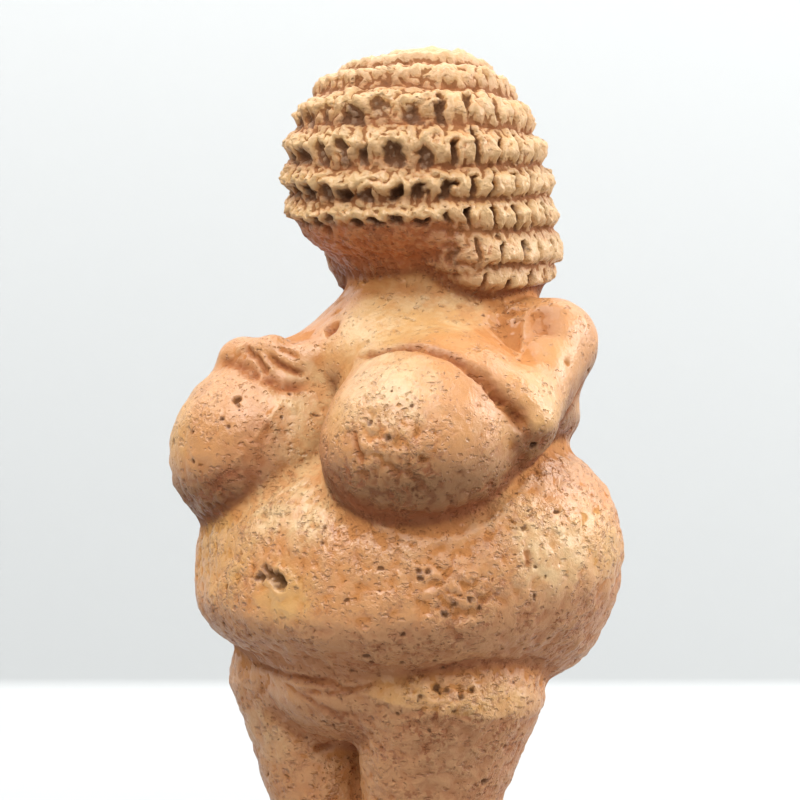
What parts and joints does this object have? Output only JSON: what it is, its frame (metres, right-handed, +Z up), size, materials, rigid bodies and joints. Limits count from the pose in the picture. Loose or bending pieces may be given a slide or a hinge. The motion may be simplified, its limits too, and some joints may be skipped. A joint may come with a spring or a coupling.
{
  "type": "venus figurine",
  "caption": "Hand-sized standing figurine of a full-bodied woman with a cap of curls, cast in one with a low oval base, for display.",
  "frame": {"origin": "centre of the flat underside of the oval base", "axes": "+Z up along the figure, -Y the way the figure faces, +X towards the figure's left side"},
  "size_m": [0.0568, 0.0455, 0.1156],
  "materials": {
    "casting": "satin"
  },
  "bodies": {
    "root": {"figurine": "casting"}
  },
  "joints": []
}
